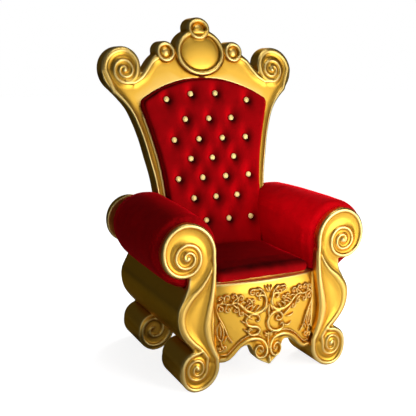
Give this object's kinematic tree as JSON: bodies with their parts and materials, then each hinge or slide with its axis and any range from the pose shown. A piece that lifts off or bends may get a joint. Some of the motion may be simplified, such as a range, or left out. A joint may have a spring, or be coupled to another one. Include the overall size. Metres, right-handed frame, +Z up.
{
  "type": "throne",
  "caption": "Ceremonial throne with scroll arms and feet, a carved swelling apron and a reclined, button-tufted back under a crest of rings and corner volutes.",
  "frame": {"origin": "on the floor, under the centre of the throne's bounding box", "axes": "+Z up, -Y the way the seat faces, X across the arms"},
  "size_m": [1.125, 0.9108, 1.7175],
  "materials": {
    "gold": "burnished gold paint over the carved shell",
    "red_velvet": "velvet pile",
    "button_gold": "pale satin gold"
  },
  "bodies": {
    "root": {"side_frame_left": "gold", "side_frame_right": "gold", "apron": "gold", "rear_rail": "gold", "seat_board": "gold", "back_frame": "gold", "arm_roll_left": "red_velvet", "arm_roll_right": "red_velvet", "seat_cushion": "red_velvet", "back_pad": "red_velvet", "button_01": "button_gold", "button_02": "button_gold", "button_03": "button_gold", "button_04": "button_gold", "button_05": "button_gold", "button_06": "button_gold", "button_07": "button_gold", "button_08": "button_gold", "button_09": "button_gold", "button_10": "button_gold", "button_11": "button_gold", "button_12": "button_gold", "button_13": "button_gold", "button_14": "button_gold", "button_15": "button_gold", "button_16": "button_gold", "button_17": "button_gold", "button_18": "button_gold", "button_19": "button_gold", "button_20": "button_gold", "button_21": "button_gold", "button_22": "button_gold", "button_23": "button_gold", "button_24": "button_gold", "button_25": "button_gold"}
  },
  "joints": []
}
